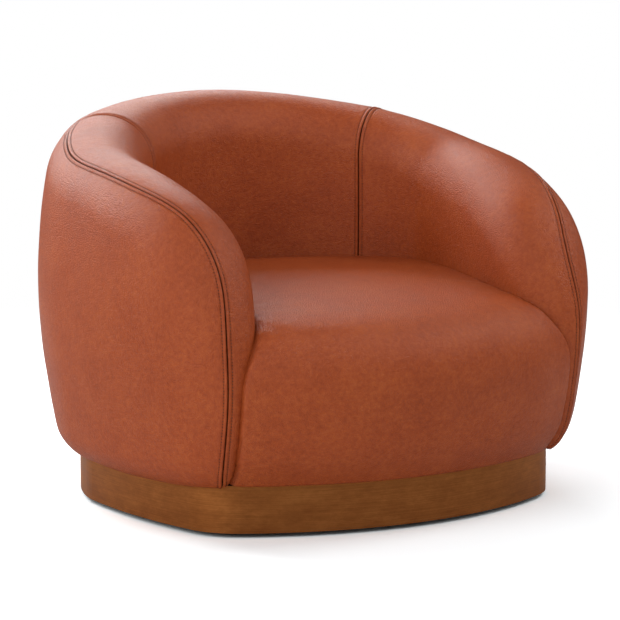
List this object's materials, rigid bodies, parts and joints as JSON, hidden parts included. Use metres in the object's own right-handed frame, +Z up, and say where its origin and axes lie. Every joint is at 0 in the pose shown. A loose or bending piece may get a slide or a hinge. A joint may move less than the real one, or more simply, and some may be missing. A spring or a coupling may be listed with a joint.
{
  "type": "leather armchair",
  "caption": "Upholstered tub armchair in smooth leather: rolled rim sloping to the arms, waterfall seat, and a metal-banded plinth that swivels on a recessed base.",
  "frame": {"origin": "on the floor, on the swivel axis, at the middle of the chair's plan", "axes": "+Z up, the front of the seat faces -Y, +X to the sitter's left"},
  "size_m": [0.9282, 0.9127, 0.699],
  "materials": {
    "leather": "smooth full-grain, satin",
    "foam": "open-cell foam",
    "webbing": "woven elastic",
    "felt": "needled felt",
    "plywood": "raw plywood",
    "beech": "planed beech",
    "dark_board": "black-stained plywood",
    "bronze": "brushed, patinated",
    "steel": "zinc plated",
    "nylon": "moulded"
  },
  "bodies": {
    "floor_base": {"floor_glides": "nylon", "floor_disc": "dark_board", "swivel_lower_plate": "steel", "lower_plate_bolts": "steel", "slide_ring": "nylon"},
    "chair": {"right_outer_cover": "leather", "left_outer_cover": "leather", "back_outer_cover": "leather", "right_arm_cover": "leather", "left_arm_cover": "leather", "inner_back_cover": "leather", "seat_cover": "leather", "right_arm_foam": "foam", "left_arm_foam": "foam", "back_foam": "foam", "seat_foam": "foam", "tub_base_ring": "plywood", "rim_rail": "beech", "right_arm_ribs": "plywood", "left_arm_ribs": "plywood", "back_ribs": "plywood", "seat_front_rail": "beech", "seat_side_rails": "beech", "seat_back_rail": "beech", "seat_corner_blocks": "beech", "seat_webbing_long": "webbing", "seat_webbing_cross": "webbing", "seat_felt": "felt", "tub_base_board": "dark_board", "plinth_band": "bronze", "plinth_core": "plywood", "swivel_deck": "plywood", "deck_cleats": "beech", "upper_plate_bolts": "steel", "swivel_upper_plate": "steel"}
  },
  "joints": [
    {"name": "chair_swivel", "type": "hinge", "parent": "floor_base", "child": "chair", "pos_m": [0, 0, 0], "axis": [0, 0, 1], "continuous": true}
  ]
}
